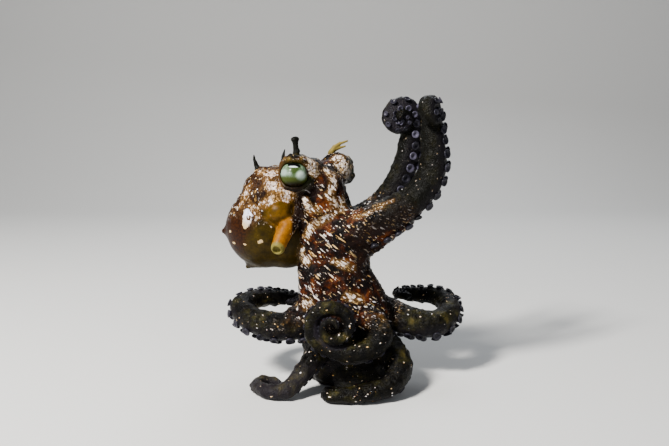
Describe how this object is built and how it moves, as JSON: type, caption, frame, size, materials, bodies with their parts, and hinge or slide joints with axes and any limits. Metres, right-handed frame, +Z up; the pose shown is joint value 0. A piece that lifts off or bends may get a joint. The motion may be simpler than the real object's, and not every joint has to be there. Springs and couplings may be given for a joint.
{
  "type": "octopus",
  "caption": "Still, life-size small octopus standing tall on its gathered arms, with a hanging mantle, raised eyes, skin horns, and arms lifted, looped and coiled.",
  "frame": {"origin": "middle of the flat underside of the arm crown, where the animal stands on the floor", "axes": "+Z up, +X to the side of the raised arms, the mantle hangs towards -X, and -Y is the animal's right side"},
  "size_m": [0.1143, 0.0759, 0.1279],
  "materials": {
    "body_skin": "moist skin, reddish brown with cream streaks",
    "mantle_skin": "moist skin, olive amber with pinkish white blotches",
    "arm_skin": "moist skin, dark olive brown with pale specks and lavender suckers",
    "funnel_skin": "moist skin, orange ochre",
    "eye": "wet and glossy, silver green with a black slit pupil",
    "horn_skin": "moist skin, near black"
  },
  "bodies": {
    "root": {"mantle": "mantle_skin", "head": "body_skin", "eye_right": "eye", "eye_left": "eye", "horn_right": "horn_skin", "horn_left": "horn_skin", "funnel": "funnel_skin", "web": "body_skin", "arm_right_1_base": "arm_skin", "arm_right_1_mid": "arm_skin", "arm_right_1_tip": "arm_skin", "arm_right_2_base": "arm_skin", "arm_right_2_mid": "arm_skin", "arm_right_2_tip": "arm_skin", "arm_right_3_base": "arm_skin", "arm_right_3_mid": "arm_skin", "arm_right_3_tip": "arm_skin", "arm_right_4_base": "arm_skin", "arm_right_4_mid": "arm_skin", "arm_right_4_tip": "arm_skin", "arm_left_1_base": "arm_skin", "arm_left_1_mid": "arm_skin", "arm_left_1_tip": "arm_skin", "arm_left_2_base": "arm_skin", "arm_left_2_mid": "arm_skin", "arm_left_2_tip": "arm_skin", "arm_left_3_base": "arm_skin", "arm_left_3_mid": "arm_skin", "arm_left_3_tip": "arm_skin", "arm_left_4_base": "arm_skin", "arm_left_4_mid": "arm_skin", "arm_left_4_tip": "arm_skin"}
  },
  "joints": []
}
